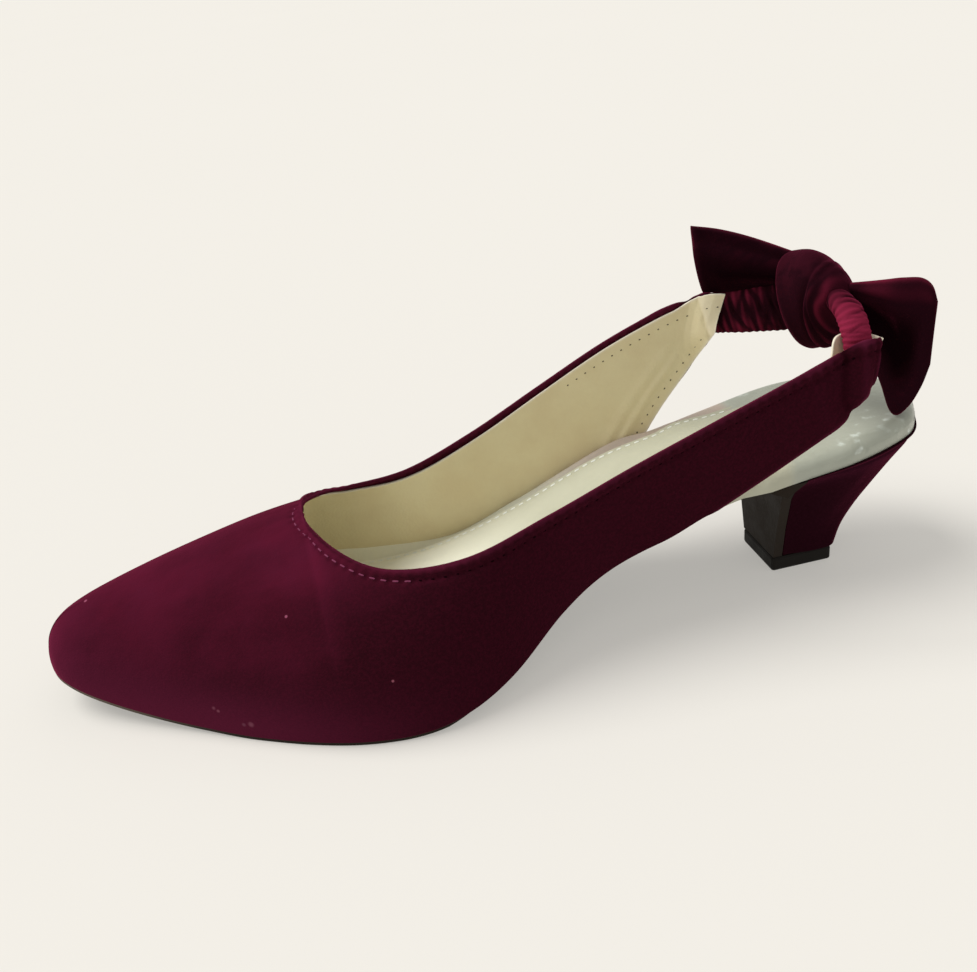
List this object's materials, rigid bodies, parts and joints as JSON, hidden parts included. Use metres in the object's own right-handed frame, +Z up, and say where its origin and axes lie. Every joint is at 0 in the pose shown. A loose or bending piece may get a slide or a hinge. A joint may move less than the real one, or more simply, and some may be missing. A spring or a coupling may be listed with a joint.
{
  "type": "slingback court shoe",
  "caption": "Left slingback court shoe in velvet: closed almond toe, slim covered block heel, cream insole and a gathered back band tied in a knotted bow.",
  "frame": {"origin": "on the floor under the middle of the shoe's box, where it stands on its heel and forefoot", "axes": "+X towards the toe, +Y towards the outer side of the left foot, +Z up from the floor"},
  "size_m": [0.242, 0.0846, 0.0921],
  "materials": {
    "velvet": "wine-red velvet with a short bright nap",
    "bow_velvet": "thinner wine-red velvet, gathered",
    "sock": "cream sock leather with a pearly wrapped edge at the seat",
    "sole": "grey-brown sole leather with a matt edge",
    "top_piece": "grey-brown hard rubber"
  },
  "bodies": {
    "root": {"upper": "velvet", "heel": "velvet", "back_band": "bow_velvet", "bow_knot": "bow_velvet", "bow_tail_outer": "bow_velvet", "bow_tail_inner": "bow_velvet", "insole": "sock", "outsole": "sole", "top_piece": "top_piece"}
  },
  "joints": []
}
